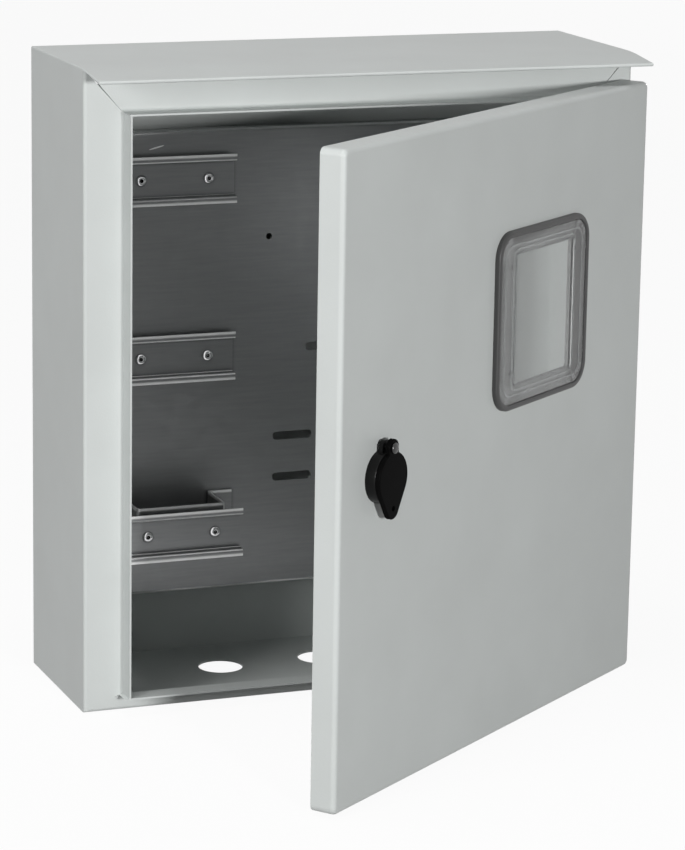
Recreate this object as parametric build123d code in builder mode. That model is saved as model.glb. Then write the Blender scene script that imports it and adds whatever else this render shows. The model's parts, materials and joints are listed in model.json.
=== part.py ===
from build123d import *
import os

os.makedirs("parts", exist_ok=True)

# Sheet-steel meter enclosure for a wall, with a drip hood and one hinged door.
# Millimetres: X to the right, Y towards the wall, Z up.
# The origin is the middle of the four wall holes, on the outer face of the back.

# Cabinet
body_width = 400.0
body_height = 445.0
body_depth = 125.0
body_sheet = 1.2
fold_radius = 1.2  # inside of every fold in the cabinet
flange_side = 29.0  # from the outer side to the opening
flange_top = 30.5
flange_bottom = 12.5
lip_fold = 2.4  # inside of the fold between a flange and its lip
lip_depth = 16.0  # how far the lip stands ahead of the flange
hood_reach = 35.0
hood_drop = 4.0
hood_bend = 170.0  # the roof runs over into the hood in a gentle bend
hood_hem = 20.0  # edge folded back under the hood
hood_edge_round = 1.1
roof_edge_round = 1.0
mitre_gap = 1.4  # open end of the slit between a side flange and the top flange
wall_hole_radius = 4.0
wall_hole_side_inset = 45.0
wall_hole_end_inset = 25.0
gland_radius = 16.0
gland_count = 3
gland_pitch = 76.0
gland_from_front = 72.0

# Mounting plate and what carries it
plate_side_gap = 35.0  # from the cabinet's sides to the plate
plate_head_gap = 60.0  # from the roof to the plate
plate_sheet = 1.5
plate_fold = 8.0  # stiffening edges, folded back along the top and bottom
plate_gap = 12.3  # from the back wall to the plate
plate_rise = 48.5  # from the floor to the plate
stud_inset = 15.0  # from the plate's edges
stud_radius = 3.0
stud_tail = 3.0  # past the nut
standoff_radius = 6.0
washer_radius = 6.25
washer_height = 1.6
nut_flats = 10.0
nut_height = 5.0

# Slots and holes for a meter, set out on both sides of the window's middle
slot_length = 30.0
slot_width = 6.0
slot_spread = 119.0
slot_pitch = 30.5
slot_rise = 95.25  # from the plate's lower edge
upper_slot_spread = 70.0
upper_slot_rise = 175.5
pilot_radius = 2.25
pilot_spread = 158.0
pilot_rise = 257.5

# Device rails, the bracket under the lower one, and their blind rivets
rail_length = 88.0
rail_inset = 65.0  # from the plate's left edge to the middle of a rail
rail_top_drop = 35.0  # from the plate's upper edge
rail_middle_drop = 163.0
rail_lower_rise = 53.0  # from the plate's lower edge
rail_lower_offset = 6.0  # to the left of the other two
rail_height = 35.0
rail_base = 27.0
rail_depth = 7.5
rail_sheet = 1.0
rail_fold = 0.8
bracket_width = 66.0
bracket_raise = 37.0
bracket_foot = 17.0
bracket_above_rail = 3.0
bracket_sheet = 1.5
rivet_pitch = 50.0
rivet_radius = 2.0
rivet_head_radius = 4.0
rivet_head_height = 1.3
rivet_head_round = 0.9
rivet_core_radius = 1.3
rivet_bulb_radius = 2.8
rivet_bulb_height = 3.0

# Earthing point on the back wall
earth_inset = 80.0  # from the cabinet's right side
earth_rise = 24.0
earth_radius = 4.0
earth_length = 22.0
earth_washer_radius = 8.5
earth_nut_flats = 13.0
earth_nut_height = 6.5

# Door, a folded pan
door_lift = 2.0  # from the cabinet's floor to the door
door_head_gap = 19.0  # from the door to the roof
door_stand = 25.0  # from the flange to the door's face
door_depth = 18.0
door_sheet = 1.2
door_corner = 4.5
door_fold = 3.4
door_open = 37.1  # degrees
gasket_width = 8.0
gasket_corner = 6.0
seal_gap = 0.3

# Hinges, hidden between the lip and the door's edge
hinge_inset = 9.0  # from the door's side to the pin
hinge_setback = 12.0  # from the door's face to the pin
hinge_from_end = 76.0  # from the door's ends to the middle of a hinge
hinge_height = 40.0
hinge_sheet = 2.0
knuckle_radius = 4.2
knuckle_height = 16.0  # the door's own knuckle, between two fixed ones
knuckle_gap = 0.3
pin_radius = 2.5
pin_gap = 0.05
pin_head_radius = 3.8
pin_head_height = 1.5
leaf_margin = 2.5  # from a leaf to the fold beside it

# Window
window_inset = 150.0  # from the door's hinged side to the middle
window_drop = 139.0  # from the door's top to the middle
window_width = 124.0
window_height = 121.0
window_corner = 18.0
window_rim = 4.0
window_overlap = 6.0  # frame over the door's edge
window_proud = 4.0
window_outer_round = 1.8
window_inner_round = 1.0
clear_width = 76.5
clear_height = 88.0
clear_corner = 2.5
pane_floor = 1.0  # frame between the door's face and the pane
pane_sheet = 2.0
pane_bead = 1.2  # raised line round the clear opening
pane_bead_height = 0.7
peg_radius = 1.6
peg_height = 0.8
peg_spread = 86.0
peg_pitch = 72.0
peg_rib = 1.2
retainer_step = 3.0  # from the frame's clear opening to the ring's
retainer_sheet = 2.0

# Lock, its cam and the dust cap that hangs over it
lock_inset = 46.5  # from the door's free side
lock_radius = 17.0
lock_proud = 7.5
lock_wall = 2.0
lock_edge_round = 0.8
key_radius = 4.2
ear_rise = 19.6
ear_radius = 4.6
ear_lift = 2.0  # from the door's face
ear_sheet = 3.0
barrel_radius = 8.5
core_radius = 5.5
core_square = 7.0
bit_length = 7.0
bit_width = 2.2
bit_depth = 8.0
lock_nut_flats = 24.0
lock_nut_height = 4.0
cam_gap = 1.1  # behind the flange
cam_sheet = 2.5
cam_hub_radius = 9.0
cam_tip_radius = 6.5
cam_reach = 27.5
cam_screw_radius = 2.0
cam_screw_length = 10.0
cam_screw_head_radius = 5.0
cam_screw_head_height = 2.5
cap_sheet = 3.2
lug_radius = 5.8
cap_edge_round = 0.8
tab_drop = 19.5
tab_radius = 7.0
seal_hole_radius = 1.8
cap_rivet_radius = 2.2
cap_rivet_head_radius = 3.6
cap_rivet_head_height = 1.5

# Clearances
loose_gap = 0.3
thread_gap = 0.05

# A hexagon turned so that two of its flats face the sides, in degrees
hex_turn = 30.0

# Places that follow from the sizes
half_width = body_width / 2
floor_z = -body_height / 2
roof_z = body_height / 2
front_y = -body_depth
lip_y = front_y - lip_depth
outer_fold = fold_radius + body_sheet
opening_x = half_width - flange_side
opening_bottom = floor_z + flange_bottom
opening_top = roof_z - flange_top
lip_x = opening_x + body_sheet
wall_hole_width = body_width - 2 * wall_hole_side_inset
wall_hole_height = body_height - 2 * wall_hole_end_inset
plate_width = body_width - 2 * plate_side_gap
plate_height = body_height - plate_rise - plate_head_gap
plate_y = -(body_sheet + plate_gap + plate_sheet)
plate_bottom = floor_z + plate_rise
plate_top = roof_z - plate_head_gap
plate_z = (plate_bottom + plate_top) / 2
rail_x = rail_inset - plate_width / 2
rail_lower_x = rail_x - rail_lower_offset
rail_top_z = plate_top - rail_top_drop
rail_middle_z = plate_top - rail_middle_drop
rail_lower_z = plate_bottom + rail_lower_rise
raised_y = plate_y - bracket_raise
earth_x = half_width - earth_inset
earth_z = floor_z + earth_rise
door_width = body_width
door_height = body_height - door_lift - door_head_gap
door_face_y = front_y - door_stand
door_inner_y = door_face_y + door_sheet
door_back_y = door_face_y + door_depth
door_z = floor_z + door_lift + door_height / 2
window_x = door_width / 2 - window_inset
window_z = door_z + door_height / 2 - window_drop
hinge_x = door_width / 2 - hinge_inset
hinge_y = door_face_y + hinge_setback
lock_x = lock_inset - door_width / 2
lock_front_y = door_face_y - lock_proud
cam_y = front_y + body_sheet + cam_gap


def front_plane(y):
    """A plane at depth y that faces the front, so that a positive extrusion comes forwards."""
    return Plane.XZ.offset(-y)


def facing_front(x, y, z):
    """A local plane at a point, with its normal to the front and its own Y upwards."""
    return Plane(origin=(x, y, z), x_dir=(1, 0, 0), z_dir=(0, -1, 0))


def hex_nut(flats, bore, height):
    """A hexagon nut along Z, with two of its flats facing the sides."""
    with BuildPart() as nut:
        with BuildSketch():
            RegularPolygon(radius=flats / 2, side_count=6, major_radius=False, rotation=hex_turn)
            Circle(bore, mode=Mode.SUBTRACT)
        extrude(amount=height)
    return nut.part


def ring(radius, bore, height):
    """A washer or a sleeve along Z."""
    with BuildPart() as sleeve:
        with BuildSketch():
            Circle(radius)
            Circle(bore, mode=Mode.SUBTRACT)
        extrude(amount=height)
    return sleeve.part


def rod(radius, height):
    """A plain stud along Z."""
    with BuildPart() as stud:
        Cylinder(radius, height, align=(Align.CENTER, Align.CENTER, Align.MIN))
    return stud.part


def group(shape, planes):
    """Copies of one piece, each standing on its own plane."""
    with BuildPart() as copies:
        with Locations(*planes):
            add(shape)
    return copies


# Top of the front frame: flange and lip in one fold, cut to a mitre at both ends
with BuildPart() as top_flange:
    with BuildSketch(Plane.YZ):
        with BuildLine():
            FilletPolyline(
                (front_y, roof_z - body_sheet),
                (front_y, opening_top + body_sheet),
                (lip_y, opening_top + body_sheet),
                radius=lip_fold,
            )
            offset(amount=body_sheet, side=Side.LEFT)
        make_face()
    extrude(amount=half_width, both=True)
    with BuildSketch(front_plane(front_y + outer_fold)):
        with BuildLine():
            Polyline(
                (-lip_x, opening_top),
                (lip_x, opening_top),
                (half_width - mitre_gap, roof_z),
                (mitre_gap - half_width, roof_z),
                close=True,
            )
        make_face()
    extrude(amount=outer_fold + lip_depth, mode=Mode.INTERSECT)

# Left side, roof with the hood, and right side, folded with their flanges and lips
hem_start = 1 - hood_hem / hood_reach
with BuildPart() as cabinet_shell:
    with BuildSketch(Plane.XY.offset(floor_z + body_sheet)):
        with BuildLine():
            FilletPolyline(
                (-half_width, 0),
                (-half_width, front_y),
                (-lip_x, front_y),
                (-lip_x, lip_y),
                radius=[outer_fold, lip_fold],
            )
            offset(amount=body_sheet, side=Side.LEFT)
        make_face()
    extrude(amount=body_height - 2 * body_sheet)
    with BuildSketch(front_plane(front_y + outer_fold)):
        for frame_z, edge_z in ((floor_z, opening_bottom), (roof_z, opening_top)):
            with BuildLine():
                Polyline(
                    (-half_width, frame_z),
                    (-lip_x, edge_z),
                    (-opening_x, edge_z),
                    (-opening_x, frame_z),
                    close=True,
                )
            make_face()
    extrude(amount=outer_fold + lip_depth, mode=Mode.SUBTRACT)
    mirror(about=Plane.YZ)
    with BuildSketch(Plane.YZ):
        with BuildLine():
            FilletPolyline(
                (0, roof_z),
                (front_y, roof_z),
                (front_y - hood_reach, roof_z - hood_drop),
                radius=hood_bend,
            )
            offset(amount=body_sheet, side=Side.LEFT)
        make_face()
        with BuildLine():
            Line(
                (front_y - hem_start * hood_reach, roof_z - hem_start * hood_drop),
                (front_y - hood_reach, roof_z - hood_drop),
            )
            offset(amount=2 * body_sheet, side=Side.LEFT)
        make_face()
    extrude(amount=half_width, both=True)
    add(top_flange.part)
    fillet(cabinet_shell.edges().filter_by(Axis.X).sort_by(Axis.Y)[:2], radius=hood_edge_round)
    roof_edges = cabinet_shell.edges().filter_by(Axis.Y).group_by(Axis.Z)[-1]
    fillet(roof_edges, radius=roof_edge_round)

# Floor with the gland holes, folded up into its flange and lip
with BuildPart() as bottom_panel:
    with BuildSketch(Plane.YZ):
        with BuildLine():
            FilletPolyline(
                (0, floor_z),
                (front_y, floor_z),
                (front_y, opening_bottom - body_sheet),
                (lip_y, opening_bottom - body_sheet),
                radius=[outer_fold, lip_fold],
            )
            offset(amount=body_sheet, side=Side.RIGHT)
        make_face()
    extrude(amount=half_width, both=True)
    mitre_start = half_width - (half_width - lip_x) * body_sheet / flange_bottom
    with BuildSketch(front_plane(front_y + outer_fold)):
        with BuildLine():
            Polyline(
                (-half_width, floor_z + body_sheet),
                (-mitre_start, floor_z + body_sheet),
                (-lip_x, opening_bottom),
                (-half_width, opening_bottom),
                close=True,
            )
        make_face()
        mirror(about=Plane.YZ)
    extrude(amount=outer_fold + lip_depth, mode=Mode.SUBTRACT)
    with BuildSketch(Plane.XY.offset(floor_z)):
        with Locations((0, front_y + gland_from_front)):
            with GridLocations(gland_pitch, 0, gland_count, 1):
                Circle(gland_radius)
    extrude(amount=body_sheet, mode=Mode.SUBTRACT)

# Back wall, set between the sides
with BuildPart() as back_panel:
    with BuildSketch(front_plane(0)):
        Rectangle(body_width - 2 * body_sheet, body_height - 2 * body_sheet)
        with GridLocations(wall_hole_width, wall_hole_height, 2, 2):
            Circle(wall_hole_radius, mode=Mode.SUBTRACT)
    extrude(amount=body_sheet)

# Mounting plate: folded edges, meter slots, rivet and stud holes
stud_width = plate_width - 2 * stud_inset
stud_height = plate_height - 2 * stud_inset
with BuildPart() as mounting_plate:
    with BuildSketch(Plane.YZ):
        with BuildLine():
            FilletPolyline(
                (plate_y + plate_fold, plate_top),
                (plate_y, plate_top),
                (plate_y, plate_bottom),
                (plate_y + plate_fold, plate_bottom),
                radius=fold_radius + plate_sheet,
            )
            offset(amount=plate_sheet, side=Side.LEFT)
        make_face()
    extrude(amount=plate_width / 2, both=True)
    with BuildSketch(front_plane(plate_y + plate_sheet)):
        with Locations((window_x, plate_bottom + slot_rise)):
            with GridLocations(slot_spread, slot_pitch, 2, 2):
                SlotOverall(slot_length, slot_width)
        with Locations((window_x, plate_bottom + upper_slot_rise)):
            with GridLocations(upper_slot_spread, 0, 2, 1):
                SlotOverall(slot_length, slot_width)
        with Locations((window_x, plate_bottom + pilot_rise)):
            with GridLocations(pilot_spread, 0, 2, 1):
                Circle(pilot_radius)
        with Locations((0, plate_z)):
            with GridLocations(stud_width, stud_height, 2, 2):
                Circle(stud_radius + loose_gap)
        for rail_z in (rail_top_z, rail_middle_z):
            with Locations((rail_x, rail_z)):
                with GridLocations(rivet_pitch, 0, 2, 1):
                    Circle(rivet_radius + thread_gap)
    extrude(amount=plate_sheet, mode=Mode.SUBTRACT)

# Studs on the back wall, with the sleeves, washers and nuts that hold the plate
stud_places = [
    (side * stud_width / 2, plate_z + level * stud_height / 2) for side in (-1, 1) for level in (-1, 1)
]
stud_length = plate_gap + plate_sheet + washer_height + nut_height + stud_tail
plate_studs = group(
    rod(stud_radius, stud_length),
    [facing_front(x, -body_sheet, z) for x, z in stud_places],
)
plate_standoffs = group(
    ring(standoff_radius, stud_radius + loose_gap, plate_gap),
    [facing_front(x, -body_sheet, z) for x, z in stud_places],
)
plate_washers = group(
    ring(washer_radius, stud_radius + loose_gap, washer_height),
    [facing_front(x, plate_y, z) for x, z in stud_places],
)
plate_nuts = group(
    hex_nut(nut_flats, stud_radius + thread_gap, nut_height),
    [facing_front(x, plate_y - washer_height, z) for x, z in stud_places],
)

# Earthing stud with its washer and nut
earth_stud = group(rod(earth_radius, earth_length), [facing_front(earth_x, -body_sheet, earth_z)])
earth_washer = group(
    ring(earth_washer_radius, earth_radius + loose_gap, washer_height),
    [facing_front(earth_x, -body_sheet, earth_z)],
)
earth_nut = group(
    hex_nut(earth_nut_flats, earth_radius + thread_gap, earth_nut_height),
    [facing_front(earth_x, -body_sheet - washer_height, earth_z)],
)


def hat_rail(middle_x, back_y, rail_z):
    """A hat-section rail along X, with its base against back_y and its flanges to the front."""
    flange_y = back_y - rail_depth + rail_sheet
    with BuildPart() as rail:
        with BuildSketch(Plane.YZ.offset(middle_x)):
            with BuildLine():
                FilletPolyline(
                    (flange_y, rail_z + rail_height / 2),
                    (flange_y, rail_z + rail_base / 2),
                    (back_y, rail_z + rail_base / 2),
                    (back_y, rail_z - rail_base / 2),
                    (flange_y, rail_z - rail_base / 2),
                    (flange_y, rail_z - rail_height / 2),
                    radius=[rail_fold, rail_fold + rail_sheet, rail_fold + rail_sheet, rail_fold],
                )
                offset(amount=rail_sheet, side=Side.RIGHT)
            make_face()
        extrude(amount=rail_length / 2, both=True)
        with BuildSketch(front_plane(back_y)):
            with Locations((middle_x, rail_z)):
                with GridLocations(rivet_pitch, 0, 2, 1):
                    Circle(rivet_radius + thread_gap)
        extrude(amount=rail_sheet, mode=Mode.SUBTRACT)
    return rail


rail_top = hat_rail(rail_x, plate_y, rail_top_z)
rail_middle = hat_rail(rail_x, plate_y, rail_middle_z)
rail_lower = hat_rail(rail_lower_x, raised_y, rail_lower_z)

# Omega bracket that carries the lower rail ahead of the plate
bracket_inner = bracket_width / 2 - bracket_sheet
bracket_bottom = rail_lower_z - rail_height / 2
with BuildPart() as rail_bracket:
    with BuildSketch(Plane.XY.offset(bracket_bottom)):
        with BuildLine():
            FilletPolyline(
                (rail_lower_x - bracket_width / 2 - bracket_foot, plate_y),
                (rail_lower_x - bracket_inner, plate_y),
                (rail_lower_x - bracket_inner, raised_y + bracket_sheet),
                (rail_lower_x + bracket_inner, raised_y + bracket_sheet),
                (rail_lower_x + bracket_inner, plate_y),
                (rail_lower_x + bracket_width / 2 + bracket_foot, plate_y),
                radius=[rail_fold + bracket_sheet, rail_fold, rail_fold, rail_fold + bracket_sheet],
            )
            offset(amount=bracket_sheet, side=Side.RIGHT)
        make_face()
    extrude(amount=rail_height + bracket_above_rail)
    with BuildSketch(front_plane(raised_y + bracket_sheet)):
        with Locations((rail_lower_x, rail_lower_z)):
            with GridLocations(rivet_pitch, 0, 2, 1):
                Circle(rivet_radius + thread_gap)
    extrude(amount=bracket_sheet, mode=Mode.SUBTRACT)


def blind_rivet(grip):
    """A set blind rivet along Z: hollow head above zero, shank through the grip, bulb below it."""
    with BuildPart() as rivet:
        with BuildSketch(Plane.XZ):
            with BuildLine():
                Polyline(
                    (rivet_core_radius, rivet_head_height),
                    (rivet_head_radius, rivet_head_height),
                    (rivet_head_radius, 0),
                    (rivet_radius, 0),
                    (rivet_radius, -grip),
                    (rivet_bulb_radius, -grip),
                    (rivet_bulb_radius, -grip - rivet_bulb_height),
                    (0, -grip - rivet_bulb_height),
                    (0, -grip),
                    (rivet_core_radius, -grip),
                    close=True,
                )
            make_face()
        revolve(axis=Axis.Z)
        head_edges = rivet.edges().filter_by(GeomType.CIRCLE).group_by(Axis.Z)[-1]
        fillet(head_edges.sort_by(SortBy.RADIUS)[-1], radius=rivet_head_round)
    return rivet.part


# Two rivets to a rail: four through the plate and two through the bracket
rivet_sides = (-rivet_pitch / 2, rivet_pitch / 2)
plate_rivet_planes = [
    facing_front(rail_x + side, plate_y - rail_sheet, z)
    for side in rivet_sides
    for z in (rail_top_z, rail_middle_z)
]
raised_rivet_planes = [
    facing_front(rail_lower_x + side, raised_y - rail_sheet, rail_lower_z) for side in rivet_sides
]
with BuildPart() as rail_rivets:
    with Locations(*plate_rivet_planes):
        add(blind_rivet(rail_sheet + plate_sheet))
    with Locations(*raised_rivet_planes):
        add(blind_rivet(rail_sheet + bracket_sheet))

# Door pan, drawn closed: a rounded block hollowed from behind, with its two cut-outs
cutout_width = window_width - 2 * window_overlap
cutout_height = window_height - 2 * window_overlap
cutout_corner = window_corner - window_overlap
with BuildPart() as door_panel:
    with BuildSketch(front_plane(door_back_y)):
        with Locations((0, door_z)):
            RectangleRounded(door_width, door_height, door_corner)
    extrude(amount=door_depth)
    fillet(door_panel.faces().sort_by(Axis.Y)[0].edges(), radius=door_fold)
    offset(amount=-door_sheet, openings=door_panel.faces().sort_by(Axis.Y)[-1])
    with BuildSketch(front_plane(door_inner_y)):
        with Locations((window_x, window_z)):
            RectangleRounded(cutout_width, cutout_height, cutout_corner)
        with Locations((lock_x, door_z)):
            Circle(barrel_radius + loose_gap)
    extrude(amount=door_sheet, mode=Mode.SUBTRACT)

# Foam seal on the door, over the cabinet's lip
gasket_z = (opening_bottom + opening_top) / 2
seal_width = 2 * opening_x + body_sheet
seal_height = opening_top - opening_bottom + body_sheet
with BuildPart() as door_gasket:
    with BuildSketch(front_plane(lip_y - seal_gap)):
        with Locations((0, gasket_z)):
            RectangleRounded(seal_width + gasket_width, seal_height + gasket_width, gasket_corner)
            Rectangle(seal_width - gasket_width, seal_height - gasket_width, mode=Mode.SUBTRACT)
    extrude(amount=lip_y - seal_gap - door_inner_y)

# Hinge heights, from the bottom of a hinge: fixed knuckle, door knuckle, fixed knuckle
fixed_knuckle = (hinge_height - knuckle_height) / 2 - knuckle_gap
door_knuckle_from = fixed_knuckle + knuckle_gap
upper_knuckle_from = hinge_height - fixed_knuckle
bore_radius = pin_radius + pin_gap
notch = knuckle_radius + loose_gap


def hinge_leaf(base_z, leg_from, leg_y, arm_end, knuckles):
    """A leaf with a leg along Y, an arm to the pin, and knuckles given as (height, length)."""
    leg_x = (leg_from + (hinge_sheet if arm_end > leg_from else -hinge_sheet), leg_from)
    with BuildPart() as leaf:
        with BuildSketch(Plane.XY.offset(base_z)):
            with Locations((min(leg_x), min(leg_y))):
                Rectangle(hinge_sheet, max(leg_y) - min(leg_y), align=Align.MIN)
            with Locations((min(leg_from, arm_end), hinge_y)):
                Rectangle(abs(arm_end - leg_from), hinge_sheet, align=(Align.MIN, Align.CENTER))
        extrude(amount=hinge_height)
        for height, length in knuckles:
            with BuildSketch(Plane.XY.offset(base_z + height)):
                with Locations((hinge_x, hinge_y)):
                    Circle(knuckle_radius)
                with Locations((min(hinge_x, arm_end), hinge_y)):
                    Rectangle(abs(arm_end - hinge_x), hinge_sheet, align=(Align.MIN, Align.CENTER))
                with Locations((hinge_x, hinge_y)):
                    Circle(bore_radius, mode=Mode.SUBTRACT)
            extrude(amount=length)
    return leaf


def fixed_leaf(base_z):
    """The cabinet's leaf, against the outside of the lip."""
    return hinge_leaf(
        base_z,
        lip_x,
        (lip_y, front_y - leaf_margin),
        hinge_x - notch,
        [(0, fixed_knuckle), (upper_knuckle_from, fixed_knuckle)],
    )


def door_leaf(base_z):
    """The door's leaf, against the inside of its edge."""
    return hinge_leaf(
        base_z,
        door_width / 2 - door_sheet,
        (door_face_y + door_fold + leaf_margin, door_back_y),
        hinge_x + notch,
        [(door_knuckle_from, knuckle_height)],
    )


def hinge_pin(base_z):
    """A headed pin that hangs in the knuckles."""
    with BuildPart() as pin:
        with BuildSketch(Plane.XY.offset(base_z)):
            with Locations((hinge_x, hinge_y)):
                Circle(pin_radius)
        extrude(amount=hinge_height)
        with BuildSketch(Plane.XY.offset(base_z + hinge_height)):
            with Locations((hinge_x, hinge_y)):
                Circle(pin_head_radius)
        extrude(amount=pin_head_height)
    return pin


hinge_low_z = door_z - door_height / 2 + hinge_from_end - hinge_height / 2
hinge_high_z = door_z + door_height / 2 - hinge_from_end - hinge_height / 2
hinge_leaf_lower = fixed_leaf(hinge_low_z)
hinge_leaf_upper = fixed_leaf(hinge_high_z)
door_leaf_lower = door_leaf(hinge_low_z)
door_leaf_upper = door_leaf(hinge_high_z)
hinge_pin_lower = hinge_pin(hinge_low_z)
hinge_pin_upper = hinge_pin(hinge_high_z)

# Window frame: a rounded rim over the door's face, a floor under the pane and a plug in the cut-out
view_width = window_width - 2 * window_rim
view_height = window_height - 2 * window_rim
view_corner = window_corner - window_rim
pane_back_y = door_face_y - pane_floor
with BuildPart() as window_frame:
    with BuildSketch(front_plane(door_face_y)):
        with Locations((window_x, window_z)):
            RectangleRounded(window_width, window_height, window_corner)
    extrude(amount=window_proud)
    fillet(window_frame.faces().sort_by(Axis.Y)[0].edges(), radius=window_outer_round)
    with BuildSketch(front_plane(pane_back_y)):
        with Locations((window_x, window_z)):
            RectangleRounded(view_width, view_height, view_corner)
    extrude(amount=window_proud - pane_floor, mode=Mode.SUBTRACT)
    rim_face = window_frame.faces().sort_by(Axis.Y)[0]
    fillet(rim_face.inner_wires()[0].edges(), radius=window_inner_round)
    with BuildSketch(front_plane(door_inner_y)):
        with Locations((window_x, window_z)):
            RectangleRounded(cutout_width - 2 * loose_gap, cutout_height - 2 * loose_gap, cutout_corner)
    extrude(amount=door_sheet)
    with BuildSketch(front_plane(door_inner_y)):
        with Locations((window_x, window_z)):
            RectangleRounded(clear_width, clear_height, clear_corner)
    extrude(amount=door_sheet + pane_floor, mode=Mode.SUBTRACT)

# Clear pane on the frame's floor, with a bead round the clear opening, moulded pegs and ribs to its edge
pane_width = view_width - 2 * loose_gap
pane_height = view_height - 2 * loose_gap
pane_corner = view_corner - loose_gap
rib_length = (pane_width - peg_spread) / 2
bead_width = clear_width + 2 * pane_bead
bead_height = clear_height + 2 * pane_bead
with BuildPart() as window_pane:
    with BuildSketch(front_plane(pane_back_y)):
        with Locations((window_x, window_z)):
            RectangleRounded(pane_width, pane_height, pane_corner)
    extrude(amount=pane_sheet)
    with BuildSketch(front_plane(pane_back_y - pane_sheet)):
        with Locations((window_x, window_z)):
            RectangleRounded(bead_width, bead_height, clear_corner + pane_bead)
            RectangleRounded(clear_width, clear_height, clear_corner, mode=Mode.SUBTRACT)
    extrude(amount=pane_bead_height)
    with BuildSketch(front_plane(pane_back_y - pane_sheet)):
        with Locations((window_x, window_z)):
            with GridLocations(peg_spread, peg_pitch, 2, 2):
                Circle(peg_radius)
    extrude(amount=peg_height)
    with BuildSketch(front_plane(pane_back_y - pane_sheet)):
        with Locations((window_x, window_z)):
            with GridLocations(peg_spread + rib_length, peg_pitch, 2, 2):
                Rectangle(rib_length, peg_rib)
    extrude(amount=peg_height / 2)

# Ring behind the door, which holds the frame's plug in the cut-out
ring_width = clear_width + 2 * retainer_step
ring_height = clear_height + 2 * retainer_step
with BuildPart() as window_retainer:
    with BuildSketch(front_plane(door_inner_y + retainer_sheet)):
        with Locations((window_x, window_z)):
            RectangleRounded(window_width, window_height, window_corner)
            RectangleRounded(ring_width, ring_height, clear_corner + retainer_step, mode=Mode.SUBTRACT)
    extrude(amount=retainer_sheet)

# Lock housing: drum and ear on the door's face, threaded barrel through it, bored for the core
barrel_end_y = cam_y - loose_gap
ear_back_y = door_face_y - ear_lift
lock_face = facing_front(lock_x, door_face_y, door_z)
ear_face = facing_front(lock_x, ear_back_y, door_z)
with BuildPart() as lock_housing:
    with BuildSketch(lock_face):
        Circle(lock_radius)
    extrude(amount=lock_proud)
    fillet(lock_housing.edges().sort_by(Axis.Y)[0], radius=lock_edge_round)
    with BuildSketch(ear_face):
        with Locations((0, ear_rise)):
            Circle(ear_radius)
        with Locations((0, ear_rise / 2)):
            Rectangle(2 * ear_radius, ear_rise)
        with Locations((0, ear_rise)):
            Circle(cap_rivet_radius + thread_gap, mode=Mode.SUBTRACT)
    extrude(amount=ear_sheet)
    with BuildSketch(lock_face):
        Circle(barrel_radius)
    extrude(amount=door_face_y - barrel_end_y)
    with BuildSketch(facing_front(lock_x, barrel_end_y, door_z)):
        Circle(core_radius + thread_gap)
    extrude(amount=barrel_end_y - lock_front_y - lock_wall, mode=Mode.SUBTRACT)
    with BuildSketch(facing_front(lock_x, lock_front_y, door_z)):
        Circle(key_radius)
    extrude(amount=-lock_wall, mode=Mode.SUBTRACT)

# Nut on the barrel, behind the door
lock_nut = group(
    hex_nut(lock_nut_flats, barrel_radius + thread_gap, lock_nut_height),
    [facing_front(lock_x, door_inner_y + lock_nut_height, door_z)],
)

# Turning core: key slot in front, square for the cam behind
core_front_y = lock_front_y + lock_wall + loose_gap
cam_back_y = cam_y + cam_sheet
with BuildPart() as lock_core:
    with BuildSketch(facing_front(lock_x, barrel_end_y, door_z)):
        Circle(core_radius)
    extrude(amount=barrel_end_y - core_front_y)
    with BuildSketch(facing_front(lock_x, cam_back_y, door_z)):
        Rectangle(core_square, core_square)
    extrude(amount=cam_back_y - barrel_end_y)
    with BuildSketch(facing_front(lock_x, core_front_y, door_z)):
        Rectangle(bit_length, bit_width)
        Rectangle(bit_width, bit_length)
    extrude(amount=-bit_depth, mode=Mode.SUBTRACT)
    with BuildSketch(facing_front(lock_x, cam_back_y, door_z)):
        Circle(cam_screw_radius + thread_gap)
    extrude(amount=cam_screw_length, mode=Mode.SUBTRACT)

# Cam, hanging unlocked, and its screw
with BuildPart() as lock_cam:
    with BuildSketch(facing_front(lock_x, cam_back_y, door_z)):
        with BuildSketch(mode=Mode.PRIVATE) as cam_ends:
            Circle(cam_hub_radius)
            with Locations((0, -cam_reach)):
                Circle(cam_tip_radius)
        make_hull(cam_ends.sketch.edges())
        Rectangle(core_square + 2 * thread_gap, core_square + 2 * thread_gap, mode=Mode.SUBTRACT)
    extrude(amount=cam_sheet)
with BuildPart() as cam_screw:
    with BuildSketch(facing_front(lock_x, cam_back_y, door_z)):
        Circle(cam_screw_radius)
    extrude(amount=cam_screw_length - loose_gap)
    with BuildSketch(facing_front(lock_x, cam_back_y, door_z)):
        Circle(cam_screw_head_radius)
    extrude(amount=-cam_screw_head_height)

# Dust cap: a drop-shaped cover with a sealing hole in its tab, hanging from an ear
cap_back_y = lock_front_y - loose_gap
with BuildPart() as dust_cap:
    with BuildSketch(facing_front(lock_x, cap_back_y, door_z)):
        with BuildSketch(mode=Mode.PRIVATE) as cap_ends:
            Circle(lock_radius)
            with Locations((0, -tab_drop)):
                Circle(tab_radius)
        make_hull(cap_ends.sketch.edges())
        with Locations((0, ear_rise)):
            Circle(lug_radius)
        with Locations((0, ear_rise / 2)):
            Rectangle(2 * lug_radius, ear_rise)
    extrude(amount=cap_sheet)
    fillet(dust_cap.faces().sort_by(Axis.Y)[0].edges(), radius=cap_edge_round)
    with BuildSketch(facing_front(lock_x, cap_back_y, door_z)):
        with Locations((0, ear_rise)):
            Circle(cap_rivet_radius + thread_gap)
        with Locations((0, -tab_drop)):
            Circle(seal_hole_radius)
    extrude(amount=cap_sheet, mode=Mode.SUBTRACT)

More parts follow.
